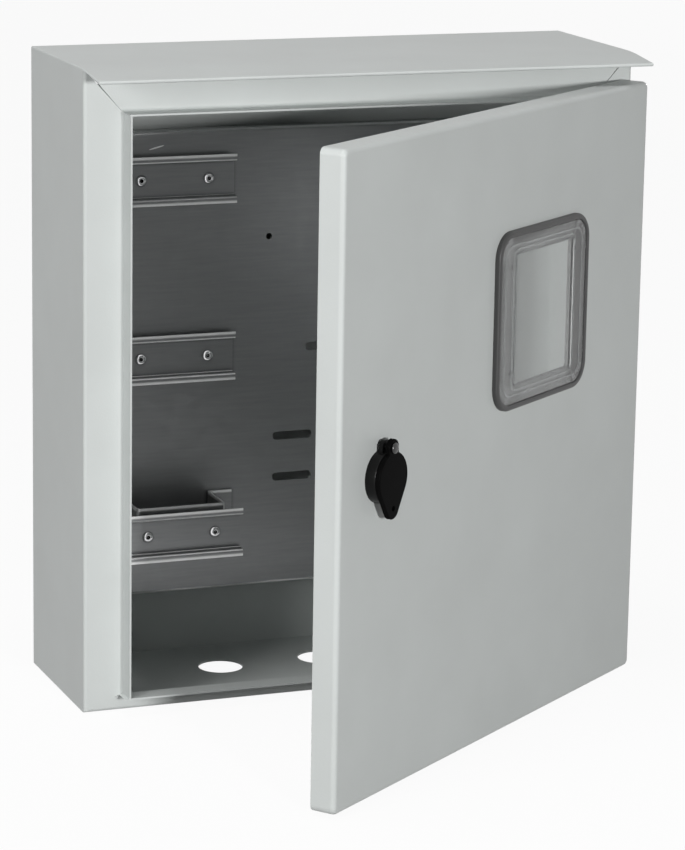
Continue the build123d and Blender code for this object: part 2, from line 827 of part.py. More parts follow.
# Pivot of the dust cap, through the ear and the cap's lug
cap_rivet_length = lock_proud + cap_sheet + 2 * loose_gap - ear_lift
with BuildPart() as cap_rivet:
    with BuildSketch(ear_face):
        with Locations((0, ear_rise)):
            Circle(cap_rivet_radius)
    extrude(amount=cap_rivet_length)
    with BuildSketch(facing_front(lock_x, ear_back_y - cap_rivet_length, door_z)):
        with Locations((0, ear_rise)):
            Circle(cap_rivet_head_radius)
    extrude(amount=cap_rivet_head_height)

cabinet_pieces = {
    "cabinet_shell": cabinet_shell,
    "bottom_panel": bottom_panel,
    "back_panel": back_panel,
    "mounting_plate": mounting_plate,
    "plate_studs": plate_studs,
    "plate_standoffs": plate_standoffs,
    "plate_washers": plate_washers,
    "plate_nuts": plate_nuts,
    "earth_stud": earth_stud,
    "earth_washer": earth_washer,
    "earth_nut": earth_nut,
    "rail_top": rail_top,
    "rail_middle": rail_middle,
    "rail_lower": rail_lower,
    "rail_bracket": rail_bracket,
    "rail_rivets": rail_rivets,
    "hinge_leaf_lower": hinge_leaf_lower,
    "hinge_leaf_upper": hinge_leaf_upper,
    "hinge_pin_lower": hinge_pin_lower,
    "hinge_pin_upper": hinge_pin_upper,
}
door_pieces = {
    "door_panel": door_panel,
    "door_gasket": door_gasket,
    "door_leaf_lower": door_leaf_lower,
    "door_leaf_upper": door_leaf_upper,
    "window_frame": window_frame,
    "window_pane": window_pane,
    "window_retainer": window_retainer,
    "lock_housing": lock_housing,
    "lock_nut": lock_nut,
    "lock_core": lock_core,
    "lock_cam": lock_cam,
    "cam_screw": cam_screw,
    "dust_cap": dust_cap,
    "cap_rivet": cap_rivet,
}

for name, piece in cabinet_pieces.items():
    piece.part.label = name
    export_step(piece.part, f"parts/{name}.step")

# The door and all that it carries stand open, turned about the hinge pins
door_swing = Pos(hinge_x, hinge_y) * Rot(0, 0, door_open) * Pos(-hinge_x, -hinge_y)
for name, piece in door_pieces.items():
    with BuildPart() as swung:
        with Locations(door_swing):
            add(piece.part)
    swung.part.label = name
    export_step(swung.part, f"parts/{name}.step")
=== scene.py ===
# %% [markdown]
# # A wall enclosure for an electricity meter
# The real thing is a folded steel box with a drip hood, a hinged door with a small window, and a
# plate with device rails inside. The solids come from the CAD model, so this lesson only dresses them:
# finishes for every piece, finer small hardware, light and a camera.

# %% Load the frame
import json
import math

import bpy
from mathutils import Matrix, Vector


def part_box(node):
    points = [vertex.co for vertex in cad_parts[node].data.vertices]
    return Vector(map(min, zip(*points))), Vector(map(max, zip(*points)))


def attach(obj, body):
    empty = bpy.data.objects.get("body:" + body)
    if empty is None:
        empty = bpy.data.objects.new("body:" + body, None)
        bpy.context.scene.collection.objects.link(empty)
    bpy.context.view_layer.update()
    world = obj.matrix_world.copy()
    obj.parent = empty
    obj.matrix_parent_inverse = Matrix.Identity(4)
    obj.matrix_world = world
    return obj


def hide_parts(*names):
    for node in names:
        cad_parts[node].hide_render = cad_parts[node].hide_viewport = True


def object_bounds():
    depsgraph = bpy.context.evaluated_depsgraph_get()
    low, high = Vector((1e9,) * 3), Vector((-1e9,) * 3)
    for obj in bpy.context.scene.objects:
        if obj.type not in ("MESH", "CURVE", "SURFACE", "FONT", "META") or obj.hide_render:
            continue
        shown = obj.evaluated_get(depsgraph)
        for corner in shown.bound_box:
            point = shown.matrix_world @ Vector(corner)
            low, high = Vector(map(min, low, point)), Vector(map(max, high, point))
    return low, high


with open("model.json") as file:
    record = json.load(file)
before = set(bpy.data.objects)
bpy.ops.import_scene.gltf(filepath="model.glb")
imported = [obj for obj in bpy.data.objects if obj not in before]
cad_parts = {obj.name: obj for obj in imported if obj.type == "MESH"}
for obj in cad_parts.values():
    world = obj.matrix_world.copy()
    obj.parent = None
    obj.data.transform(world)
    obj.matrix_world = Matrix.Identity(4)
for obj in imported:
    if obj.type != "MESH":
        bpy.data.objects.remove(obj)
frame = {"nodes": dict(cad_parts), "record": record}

cad_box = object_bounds()
nodes = frame["nodes"]
for name in ("Cube", "Light", "Camera"):
    if name in bpy.data.objects:
        bpy.data.objects.remove(bpy.data.objects[name])
scene = bpy.context.scene
print("CAD nodes:", len(nodes), "box:", [tuple(round(c, 4) for c in corner) for corner in cad_box])

# %% [markdown]
# ## The camera
# A long lens stands well back, a little above the box and to its left. The angle, the distance and the
# focal length were fitted to the corners of the box in the photograph, with no lens shift, so that the
# other views keep a centred picture. The camera's own axes are built from vectors, which makes the
# small roll easy to add.

# %% Camera
PHOTO_HEIGHT = 850
FOCAL_PIXELS = 3518.08
SENSOR = 36.0
FAR_CLIP = 50.0
camera_azimuth = math.radians(-21.09)
camera_elevation = math.radians(13.14)
camera_roll = math.radians(0.95)
camera_target = Vector((-0.01277, -0.125, -0.03148))
camera_distance = 2.44368


def direction(azimuth, elevation):
    """Unit vector from the object towards a place seen at that azimuth and elevation."""
    return Vector((
        math.sin(azimuth) * math.cos(elevation),
        -math.cos(azimuth) * math.cos(elevation),
        math.sin(elevation),
    ))


back = direction(camera_azimuth, camera_elevation)
right = Vector((math.cos(camera_azimuth), math.sin(camera_azimuth), 0.0))
up = back.cross(right)
rolled_right = math.cos(camera_roll) * right + math.sin(camera_roll) * up
rolled_up = back.cross(rolled_right)
camera_data = bpy.data.cameras.new("camera")
camera_data.sensor_width = SENSOR
camera_data.lens = FOCAL_PIXELS * SENSOR / PHOTO_HEIGHT
camera_data.clip_end = FAR_CLIP
camera = bpy.data.objects.new("camera", camera_data)
scene.collection.objects.link(camera)
camera.matrix_world = Matrix.Translation(camera_target + camera_distance * back) @ Matrix(
    (rolled_right, rolled_up, back)).transposed().to_4x4()
scene.camera = camera
scene.view_settings.view_transform = "Standard"
print("camera lens:", round(camera_data.lens, 2), "mm")

# %% [markdown]
# ## Node helpers
# Every finish below is a small node tree, and helpers keep its cells short. One adds a node with its settings
# and constant inputs, one starts a material and hands back its main shader, and one is a step of arithmetic.

# %% Helpers for node trees


def add_node(tree, kind, settings=None, **inputs):
    """A node of that kind. Inputs are named by their socket, with _ for a space."""
    node = tree.nodes.new(kind)
    for key, value in (settings or {}).items():
        setattr(node, key, value)
    for key, value in inputs.items():
        node.inputs[key.replace("_", " ")].default_value = value
    return node


def start_material(name, **inputs):
    """A new material with a Principled shader whose sockets are set."""
    material = bpy.data.materials.new(name)
    material.use_nodes = True
    shader = material.node_tree.nodes["Principled BSDF"]
    for key, value in inputs.items():
        shader.inputs[key.replace("_", " ")].default_value = value
    return material, material.node_tree, shader


def calculate(tree, operation, *values):
    """A Math node; each value is a number or an output socket."""
    node = add_node(tree, "ShaderNodeMath", {"operation": operation})
    for socket, value in zip(node.inputs, values):
        if isinstance(value, (int, float)):
            socket.default_value = value
        else:
            tree.links.new(value, socket)
    return node.outputs["Value"]


print("helpers ready")

# %% [markdown]
# ## Steps that the finishes share
# Every unevenness is a noise on the object's own coordinates, in features per metre. A noise becomes a range of
# greys, a range of numbers or a fine relief. The last step is painted shade: an ambient occlusion node darkens
# the colour in holes and corners, as if shadow fell there.

# %% Noise, ranges, relief and painted corner shade


def object_noise(tree, scale, detail=2.0, stretch=(1, 1, 1)):
    """Noise on Object coordinates; scale is in features per metre."""
    place = add_node(tree, "ShaderNodeTexCoord")
    mapping = add_node(tree, "ShaderNodeMapping", Scale=stretch)
    noise = add_node(tree, "ShaderNodeTexNoise", Scale=scale, Detail=detail)
    tree.links.new(place.outputs["Object"], mapping.inputs["Vector"])
    tree.links.new(mapping.outputs["Vector"], noise.inputs["Vector"])
    return noise


NOISE_LOW = 0.3  # most of a noise's values lie between these two
NOISE_HIGH = 0.7


def between(tree, factor, low, high):
    """A colour that runs from low to high over most of a noise's range."""
    ramp = add_node(tree, "ShaderNodeValToRGB")
    ramp.color_ramp.elements[0].position = NOISE_LOW
    ramp.color_ramp.elements[1].position = NOISE_HIGH
    ramp.color_ramp.elements[0].color = (*low, 1.0)
    ramp.color_ramp.elements[1].color = (*high, 1.0)
    tree.links.new(factor, ramp.inputs["Fac"])
    return ramp.outputs["Color"]


def ranged(tree, factor, low, high):
    """A number that runs from low to high as factor goes from 0 to 1."""
    spread = add_node(tree, "ShaderNodeMapRange", To_Min=low, To_Max=high)
    tree.links.new(factor, spread.inputs["Value"])
    return spread.outputs["Result"]


def bump(tree, shader, height, strength, distance):
    """Fine relief on the shader's normal; distance is in metres."""
    relief = add_node(tree, "ShaderNodeBump", Strength=strength, Distance=distance)
    tree.links.new(height, relief.inputs["Height"])
    tree.links.new(relief.outputs["Normal"], shader.inputs["Normal"])


# Reach and samples of the painted shade in holes and corners.
CORNER_SHADE_REACH = 0.003
CORNER_SHADE_SAMPLES = 8


def painted_corner_shade(tree, colour, own=False):
    """The colour with painted shade, darker in holes and corners as if shadow fell there; own leaves other pieces
    out.
    """
    corners = add_node(tree, "ShaderNodeAmbientOcclusion", {"samples": CORNER_SHADE_SAMPLES, "only_local": own},
                       Distance=CORNER_SHADE_REACH)
    tree.links.new(colour, corners.inputs["Color"])
    return corners.outputs["Color"]


print("grime reaches", CORNER_SHADE_REACH, "m from a corner")

# %% [markdown]
# ## Powder paint
# The sheet steel is coated with light grey powder, which melts into a skin with a very fine orange peel.
# Two noises do it: a broad one shifts the grey by a hair, and a fine one, about a millimetre across, is the
# relief that softens the highlights on the folds.

# %% Grey powder paint
PAINT_DARK = (0.548, 0.572, 0.562)
PAINT_LIGHT = (0.58, 0.606, 0.596)
CLOUDS_PER_METRE = 14.0
PEEL_PER_METRE = 800.0
PEEL_DEPTH = 0.0003
grey_paint, tree, shader = start_material("grey_powder_paint", IOR=1.5, Specular_IOR_Level=0.4)
broad = object_noise(tree, CLOUDS_PER_METRE, detail=3.0)
peel = object_noise(tree, PEEL_PER_METRE)
tree.links.new(between(tree, broad.outputs["Fac"], PAINT_DARK, PAINT_LIGHT), shader.inputs["Base Color"])
tree.links.new(ranged(tree, peel.outputs["Fac"], low=0.38, high=0.5), shader.inputs["Roughness"])
bump(tree, shader, peel.outputs["Fac"], strength=0.25, distance=PEEL_DEPTH)
print("finish:", grey_paint.name)

# %% [markdown]
# ## Painted highlights and a scratch
# The plate, the rails and the bracket are dipped steel, dull but for three places. At a bend a highlight is
# painted in a brighter grey: the surface there faces between two axes, so the largest part of its normal is under
# 1.
# The outer edges of the rails and the cut edges of the bracket get a painted highlight too, so their mask takes
# the heights of those edges. And one scratch on the plate, real bare metal, is a ball of mask squeezed into a
# streak.

# %% Masks of the painted highlights and the scratch
SCRATCH_MIDDLE = (-0.1135, -0.015, 0.1505)
SCRATCH_TURN = math.radians(-14.0)
SCRATCH_HALF = (0.006, 0.002, 0.0006)
SCRATCH_EDGE = 0.05
FLAT_FACING = 0.99  # largest part of the normal on flat sheet, and well round a bend
FOLD_FACING = 0.85
# Width of the painted highlight along an edge, in metres.
EDGE_HIGHLIGHT_WIDTH = 0.0012


def painted_fold_highlights(tree, place):
    """1 where the surface faces between two axes, where a highlight is painted, and 0 on flat sheet."""
    facing_axes = add_node(tree, "ShaderNodeVectorMath", {"operation": "ABSOLUTE"})
    parts = add_node(tree, "ShaderNodeSeparateXYZ")
    tree.links.new(place.outputs["Normal"], facing_axes.inputs[0])
    tree.links.new(facing_axes.outputs["Vector"], parts.inputs["Vector"])
    upright = calculate(tree, "MAXIMUM", parts.outputs["Y"], parts.outputs["Z"])
    largest = calculate(tree, "MAXIMUM", parts.outputs["X"], upright)
    fold = add_node(tree, "ShaderNodeMapRange", From_Min=FLAT_FACING, From_Max=FOLD_FACING)
    tree.links.new(largest, fold.inputs["Value"])
    return fold.outputs["Result"]


def scratch(tree, place):
    """1 on the scratch beside the upper rail."""
    streak = add_node(tree, "ShaderNodeMapping", {"vector_type": "TEXTURE"}, Location=SCRATCH_MIDDLE,
                      Rotation=(0.0, SCRATCH_TURN, 0.0), Scale=SCRATCH_HALF)
    ball = add_node(tree, "ShaderNodeTexGradient", {"gradient_type": "SPHERICAL"})
    tree.links.new(place.outputs["Object"], streak.inputs["Vector"])
    tree.links.new(streak.outputs["Vector"], ball.inputs["Vector"])
    return calculate(tree, "GREATER_THAN", ball.outputs["Fac"], SCRATCH_EDGE)


def painted_edge_highlights(tree, place, low, high):
    """1 along a piece's lower and upper edge, where a highlight is painted; low and high are their heights in
    metres.
    """
    half = (high - low) / 2
    height = add_node(tree, "ShaderNodeSeparateXYZ")
    tree.links.new(place.outputs["Object"], height.inputs["Vector"])
    across = calculate(tree, "ABSOLUTE", calculate(tree, "SUBTRACT", height.outputs["Z"], (low + high) / 2))
    edge_highlight = add_node(tree, "ShaderNodeMapRange", From_Min=half - 2 * EDGE_HIGHLIGHT_WIDTH, From_Max=half - EDGE_HIGHLIGHT_WIDTH)
    tree.links.new(across, edge_highlight.inputs["Value"])
    return edge_highlight.outputs["Result"]


print("scratch at", SCRATCH_MIDDLE)

# %% [markdown]
# ## Galvanised sheet
# The dull metal has very faint crystals (spangle) and rolling lines along the sheet. Voronoi cells give the
# crystals a slightly different roughness each, which shows only where light glances off, and a stretched noise
# gives the lines. The painted highlights at folds and edges and the real scratch are a brighter grey and a little
# rougher.

# %% Galvanised steel
DULL_DARK = (0.3, 0.305, 0.31)
DULL_LIGHT = (0.33, 0.335, 0.34)
# Grey of the painted highlights at folds and edges, and of the real scratch.
SCRATCH_AND_HIGHLIGHT_GREY = (0.95, 0.95, 0.95, 1.0)
SCRATCH_AND_HIGHLIGHT_ROUGHENING = 0.3
SPANGLE_PER_METRE = 220.0
ROLLING_PER_METRE = 40.0
ROLLING_STRETCH = (1, 14, 14)
ROLLING_DEPTH = 0.0002
MIX_FIRST, MIX_SECOND, MIX_RESULT = 6, 7, 2  # places of a Mix node's colour sockets, whose names aren't unique


def galvanised_sheet(name, edges=None):
    """Dull dipped steel; edges are the heights of a lower and an upper edge that get a painted highlight."""
    material, tree, shader = start_material(name, Metallic=1.0)
    place = add_node(tree, "ShaderNodeTexCoord")
    spangle = add_node(tree, "ShaderNodeTexVoronoi", Scale=SPANGLE_PER_METRE)
    tree.links.new(place.outputs["Object"], spangle.inputs["Vector"])
    rolling = object_noise(tree, ROLLING_PER_METRE, detail=4.0, stretch=ROLLING_STRETCH)
    # Mask of the painted fold highlights and the real scratch; edges add painted edge highlights.
    scratch_and_painted_highlight = calculate(tree, "MAXIMUM", painted_fold_highlights(tree, place), scratch(tree, place))
    if edges:
        scratch_and_painted_highlight = calculate(tree, "MAXIMUM", scratch_and_painted_highlight, painted_edge_highlights(tree, place, *edges))
    finish = add_node(tree, "ShaderNodeMix", {"data_type": "RGBA"})
    tree.links.new(scratch_and_painted_highlight, finish.inputs["Factor"])
    dull = between(tree, rolling.outputs["Fac"], DULL_DARK, DULL_LIGHT)
    tree.links.new(dull, finish.inputs[MIX_FIRST])
    finish.inputs[MIX_SECOND].default_value = SCRATCH_AND_HIGHLIGHT_GREY
    # Painted shade darkens the sheet's colour in its corners and holes.
    tree.links.new(painted_corner_shade(tree, finish.outputs[MIX_RESULT]), shader.inputs["Base Color"])
    roughened = calculate(tree, "ADD", 1.0, calculate(tree, "MULTIPLY", scratch_and_painted_highlight, SCRATCH_AND_HIGHLIGHT_ROUGHENING))
    dull_roughness = ranged(tree, spangle.outputs["Color"], low=0.36, high=0.43)
    tree.links.new(calculate(tree, "MULTIPLY", dull_roughness, roughened), shader.inputs["Roughness"])
    bump(tree, shader, rolling.outputs["Fac"], strength=0.02, distance=ROLLING_DEPTH)
    return material


galvanised = galvanised_sheet("galvanised_steel")
print("finish:", galvanised.name)

# %% [markdown]
# ## Bright hardware
# Nuts, studs, hinges and the lock's works are zinc plated, and the rivets are aluminium. Both are one recipe
# with different greys: a metal with a little uneven roughness from handling, and painted shade in its holes.

# %% Zinc plate and aluminium
HANDLING_PER_METRE = 260.0
HANDLING_DEPTH = 0.0002


def bright_metal(name, dark, light, smooth, rough):
    """A plated metal whose grey and roughness wander with a fine noise."""
    material, tree, shader = start_material(name, Metallic=1.0)
    wander = object_noise(tree, HANDLING_PER_METRE, detail=3.0)
    metal = between(tree, wander.outputs["Fac"], dark, light)
    # Painted shade darkens the metal's colour in its holes and corners.
    tree.links.new(painted_corner_shade(tree, metal), shader.inputs["Base Color"])
    tree.links.new(ranged(tree, wander.outputs["Fac"], smooth, rough), shader.inputs["Roughness"])
    bump(tree, shader, wander.outputs["Fac"], strength=0.04, distance=HANDLING_DEPTH)
    return material


zinc_plate = bright_metal(
    "zinc_plate", dark=(0.5, 0.51, 0.52), light=(0.62, 0.63, 0.64), smooth=0.22, rough=0.38)
rivet_metal = bright_metal(
    "rivet_aluminium", dark=(0.74, 0.74, 0.75), light=(0.84, 0.84, 0.85), smooth=0.1, rough=0.2)
print("finishes:", zinc_plate.name, rivet_metal.name)

# %% [markdown]
# ## Plastics and foam
# The window frame and the dust cap are moulded, with a fine spark-eroded grain. The lock's housing is a satin
# black and the cap's pivot a polished one. The seal is cut from black foam, so its relief is coarser. They share
# one recipe: two base greys, a roughness, a grain size and its depth, and how much the surface mirrors.

# %% Moulded plastic, lock black and foam
CLOUDING_PER_METRE = 30.0
ROUGHNESS_SPREAD = 0.06


def grained(name, dark, light, roughness, grain, depth, gloss):
    """A moulded or foamed surface from two greys: grain is in features per metre, depth in metres."""
    material, tree, shader = start_material(name, IOR=1.5, Specular_IOR_Level=gloss)
    pores = object_noise(tree, grain)
    cloud = object_noise(tree, CLOUDING_PER_METRE)
    greys = between(tree, cloud.outputs["Fac"], (dark, dark, dark), (light, light, light))
    # Painted shade darkens the colour in the piece's own corners and recesses.
    tree.links.new(painted_corner_shade(tree, greys, own=True), shader.inputs["Base Color"])
    sheen = ranged(tree, pores.outputs["Fac"], low=roughness - ROUGHNESS_SPREAD, high=roughness + ROUGHNESS_SPREAD)
    tree.links.new(sheen, shader.inputs["Roughness"])
    bump(tree, shader, pores.outputs["Fac"], strength=0.2, distance=depth)
    return material


frame_plastic = grained(
    "dark_grey_plastic", dark=0.054, light=0.067, roughness=0.4, grain=900.0, depth=0.0002, gloss=0.3)
cap_plastic = grained(
    "black_plastic", dark=0.0025, light=0.0045, roughness=0.38, grain=1100.0, depth=0.0002, gloss=0.01)
lock_black = grained(
    "black_lock_finish", dark=0.005, light=0.009, roughness=0.3, grain=900.0, depth=0.0001, gloss=0.12)
pivot_black = grained(
    "black_pivot", dark=0.005, light=0.009, roughness=0.2, grain=900.0, depth=0.0001, gloss=0.7)
seal_foam = grained(
    "black_foam", dark=0.012, light=0.03, roughness=0.85, grain=1500.0, depth=0.0006, gloss=0.3)
print("finishes:", [finish.name for finish in (frame_plastic, cap_plastic, lock_black, pivot_black, seal_foam)])

# %% [markdown]
# ## The clear pane
# The pane is injection-moulded clear plastic. A Principled shader with nearly full transmission gives the
# see-through middle, and the rest of it is the milky veil that such plastic gets. A trace of roughness that
# follows a soft noise keeps it from looking like optical glass.

# %% Clear plastic
CLEAR_TINT = (0.93, 0.95, 0.945, 1.0)
HAZE_PER_METRE = 45.0
HAZE_DEPTH = 0.0005
clear_plastic, tree, shader = start_material(
    "clear_plastic", Base_Color=CLEAR_TINT, Transmission_Weight=0.95, IOR=1.5)
haze = object_noise(tree, HAZE_PER_METRE)
tree.links.new(ranged(tree, haze.outputs["Fac"], low=0.03, high=0.1), shader.inputs["Roughness"])
bump(tree, shader, haze.outputs["Fac"], strength=0.03, distance=HAZE_DEPTH)
print("finish:", clear_plastic.name)

# %% [markdown]
# ## Dress the CAD nodes
# A node keeps its mesh and takes its finish by its material slot in the record, so one table does them all. Only
# the rails and the bracket get a galvanised sheet of their own, with the heights of their painted edge highlights.

# %% Finishes by slot
finishes = {
    "grey_paint": grey_paint,
    "galvanised_steel": galvanised,
    "zinc_plated_steel": zinc_plate,
    "rivet_aluminium": rivet_metal,
    "black_foam": seal_foam,
    "dark_grey_plastic": frame_plastic,
    "clear_plastic": clear_plastic,
    "black_lock_finish": lock_black,
    "black_plastic": cap_plastic,
}
record = frame["record"]
slot_of = {entry["node"]: entry["material_slot"] for entry in record["subparts"]}
body_of = {node: body for body, members in record["behaviour"]["bodies"].items() for node in members}
for node, slot in slot_of.items():
    for material_slot in nodes[node].material_slots:
        material_slot.material = finishes[slot]
for node in ("rail_top", "rail_middle", "rail_lower", "rail_bracket"):
    low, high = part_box(node)
    # Each sheet paints a highlight along the piece's lower and upper edge.
    nodes[node].material_slots[0].material = galvanised_sheet(node + "_galvanised", (low[2], high[2]))
print("dressed:", len(slot_of), "nodes")

# %% [markdown]
# ## Places of the small hardware
# The rivets, nuts and studs are plain in the CAD model. Finer ones take their place, so each one's middle, radius
# and length are read from the CAD mesh instead of being typed again. A node may hold several copies: corners that
# are close together belong to the same one.

# %% Places and sizes of a node's solids
SOLID_REACH = 0.03
UP = Vector((0.0, 0.0, 1.0))
CABINET_FRONT = Vector((0.0, -1.0, 0.0))
door_front = Vector(next(joint["axis"] for joint in record["behaviour"]["joints"] if joint["name"] == "cap_swing"))


def facing(front):
    """Turn that takes X across, Y up and Z to the front."""
    return Matrix((UP.cross(front), UP, front)).transposed()


def extent(corners, front):
    """Lowest and highest coordinates with X across, Y up and Z to the front."""
    local = [facing(front).transposed() @ corner for corner in corners]
    low = Vector(min(corner[axis] for corner in local) for axis in range(3))
    high = Vector(max(corner[axis] for corner in local) for axis in range(3))
    return low, high


def solids_of(node, front):
    """Base point, radius and length along the front direction of each solid in a node."""
    groups = []
    for vertex in nodes[node].data.vertices:
        near = [group for group in groups if (vertex.co - group[0]).length < SOLID_REACH]
        if near:
            near[0].append(vertex.co)
        else:
            groups.append([vertex.co])
    solids = []
    for group in groups:
        low, high = extent(group, front)
        middle = (low + high) / 2
        base = facing(front) @ Vector((middle.x, middle.y, low.z))
        solids.append((base, (high.x - low.x) / 2, high.z - low.z))
    return solids


for node in ("rail_rivets", "plate_nuts", "plate_studs", "earth_nut", "earth_stud"):
    base, radius, length = solids_of(node, CABINET_FRONT)[0]
    print(node, len(solids_of(node, CABINET_FRONT)), "radius", round(radius, 5), "length", round(length, 5))

# %% [markdown]
# ## Trees for small round pieces
# Small hardware repeats, so Geometry Nodes make it: one shape, and a copy on every place, each turned by a random
# angle from a fixed seed. Round shapes start from a flat grid that is bent round an axis. Across the grid runs the
# angle, and along it run the radius and the height. That keeps every tree short: it only has to say how large
# these two are.

# %% Helpers for geometry trees
SEED = 7
SEGMENTS = 48
SAME_POINT = 1e-6


def start_tree(name, sizes):
    """A geometry tree with places, the named sizes, a direction and a finish as its inputs."""
    tree = bpy.data.node_groups.new(name, "GeometryNodeTree")
    tree.interface.new_socket("Places", in_out="INPUT", socket_type="NodeSocketGeometry")
    for size_name in sizes:
        tree.interface.new_socket(size_name, in_out="INPUT", socket_type="NodeSocketFloat")
    tree.interface.new_socket("Facing", in_out="INPUT", socket_type="NodeSocketVector")
    tree.interface.new_socket("Finish", in_out="INPUT", socket_type="NodeSocketMaterial")
    tree.interface.new_socket("Pieces", in_out="OUTPUT", socket_type="NodeSocketGeometry")
    return tree, add_node(tree, "NodeGroupInput").outputs


def flat_grid(tree, rows):
    """A grid of SEGMENTS by rows, with its two directions as numbers from 0 to 1."""
    grid = add_node(tree, "GeometryNodeMeshGrid", Size_X=1.0, Size_Y=1.0,
                    Vertices_X=SEGMENTS + 1, Vertices_Y=rows + 1)
    place = add_node(tree, "ShaderNodeSeparateXYZ")
    tree.links.new(add_node(tree, "GeometryNodeInputPosition").outputs["Position"], place.inputs["Vector"])
    around = calculate(tree, "ADD", place.outputs["X"], 0.5)
    along = calculate(tree, "ADD", place.outputs["Y"], 0.5)
    return grid.outputs["Mesh"], around, along


def set_on_places(tree, given, shape, spin):
    """Sets a copy of the shape on every place, dresses it and ends the tree."""
    copies = add_node(tree, "GeometryNodeInstanceOnPoints")
    tree.links.new(given["Places"], copies.inputs["Points"])
    tree.links.new(shape, copies.inputs["Instance"])
    tree.links.new(given["Facing"], copies.inputs["Rotation"])
    chance = add_node(tree, "FunctionNodeRandomValue", Seed=SEED)
    own_turn = add_node(tree, "ShaderNodeCombineXYZ")
    tree.links.new(calculate(tree, "MULTIPLY", chance.outputs["Value"], spin), own_turn.inputs["Z"])
    turned = add_node(tree, "GeometryNodeRotateInstances")
    tree.links.new(copies.outputs["Instances"], turned.inputs["Instances"])
    tree.links.new(own_turn.outputs["Vector"], turned.inputs["Rotation"])
    real = add_node(tree, "GeometryNodeRealizeInstances")
    tree.links.new(turned.outputs["Instances"], real.inputs["Geometry"])
    dressed = add_node(tree, "GeometryNodeSetMaterial")
    tree.links.new(real.outputs["Geometry"], dressed.inputs["Geometry"])
    tree.links.new(given["Finish"], dressed.inputs["Material"])
    tree.links.new(dressed.outputs["Geometry"], add_node(tree, "NodeGroupOutput").inputs["Pieces"])
    return tree


def end_tree(tree, given, grid, around, radius, height, spin):
    """Bends the grid round its axis, closes it, and sets a copy on every place."""
    angle = calculate(tree, "MULTIPLY", around, 2 * math.pi)
    bent = add_node(tree, "ShaderNodeCombineXYZ")
    tree.links.new(calculate(tree, "MULTIPLY", radius, calculate(tree, "COSINE", angle)), bent.inputs["X"])
    tree.links.new(calculate(tree, "MULTIPLY", radius, calculate(tree, "SINE", angle)), bent.inputs["Y"])
    tree.links.new(height, bent.inputs["Z"])
    shape = add_node(tree, "GeometryNodeSetPosition")
    tree.links.new(grid, shape.inputs["Geometry"])
    tree.links.new(bent.outputs["Vector"], shape.inputs["Position"])
    closed = add_node(tree, "GeometryNodeMergeByDistance", Distance=SAME_POINT)
    tree.links.new(shape.outputs["Geometry"], closed.inputs["Geometry"])
    return set_on_places(tree, given, closed.outputs["Geometry"], spin)


print("segments round a turned piece:", SEGMENTS)

# %% [markdown]
# ## A tree for turned pieces
# Rivets, nuts and screws all come from a lathe: one outline turned round an axis. Two curves carry the outline,
# one for the radius and one for the height. A hexagon is the same piece with six flats cut from it, so the radius
# is held under the flats' own.

# %% The turned-piece tree


def share_curve(tree, along, shares):
    """A curve through evenly spaced shares from 0 to 1, with straight runs between them."""
    curve = add_node(tree, "ShaderNodeFloatCurve")
    points = curve.mapping.curves[0].points
    points[0].location = (0.0, shares[0])
    points[1].location = (1.0, shares[-1])
    for step, value in enumerate(shares[1:-1], 1):
        points.new(step / (len(shares) - 1), value)
    for point in points:
        point.handle_type = "VECTOR"
    curve.mapping.update()
    tree.links.new(along, curve.inputs["Value"])
    return curve.outputs["Value"]


HALF_FLAT = math.pi / 6


def turned_piece(name, outline, spin=0.0):
    """A tree for an outline of (radius, height) points, from the base round to the end of the bore."""
    widest = max(point[0] for point in outline)
    highest = max(point[1] for point in outline)
    tree, given = start_tree(name, ("Radius", "Height", "Flats"))
    grid, around, along = flat_grid(tree, len(outline) - 1)
    radius_share = share_curve(tree, along, [radius / widest for radius, height in outline])
    height_share = share_curve(tree, along, [height / highest for radius, height in outline])
    round_radius = calculate(tree, "MULTIPLY", radius_share, given["Radius"])
    height = calculate(tree, "MULTIPLY", height_share, given["Height"])
    angle = calculate(tree, "MULTIPLY", around, 2 * math.pi)
    from_flat = calculate(tree, "WRAP", angle, HALF_FLAT, -HALF_FLAT)
    flat_radius = calculate(tree, "DIVIDE", given["Flats"], calculate(tree, "COSINE", from_flat))
    radius = calculate(tree, "MINIMUM", round_radius, flat_radius)
    return end_tree(tree, given, grid, around, radius, height, spin)


print("half a flat of a hexagon:", round(math.degrees(HALF_FLAT)), "degrees")

# %% [markdown]
# ## Fitting a tree's pieces into the model
# The tree runs once, its result is kept as a plain mesh, and the modifier goes. The piece rides on the body of
# its CAD node and has the same slot, and hardware also stands in for the node.

# %% From a tree to a piece
ROUND = 1.0
SHARP_EDGE = math.radians(32.0)


def grow(name, node, tree, front, places, **sizes):
    """Runs a tree on the places; the piece has the body and the slot of the node."""
    place_mesh = bpy.data.meshes.new(name + "_places")
    place_mesh.from_pydata(places, [], [])
    piece = bpy.data.objects.new(name, place_mesh)
    scene.collection.objects.link(piece)
    given = {"Facing": tuple(facing(front).to_euler()), "Finish": finishes[slot_of[node]], **sizes}
    maker = piece.modifiers.new("maker", "NODES")
    maker.node_group = tree
    for socket in tree.interface.items_tree:
        if socket.in_out == "INPUT" and socket.name in given:
            maker[socket.identifier] = given[socket.name]
    shaped = piece.evaluated_get(bpy.context.evaluated_depsgraph_get())
    mesh = bpy.data.meshes.new_from_object(shaped)
    piece.modifiers.remove(maker)
    piece.data = mesh
    mesh.shade_smooth()
    mesh.set_sharp_from_angle(angle=SHARP_EDGE)
    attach(piece, body_of[node])
    print(name, "x", len(places), ":", len(mesh.polygons), "faces")
    return piece


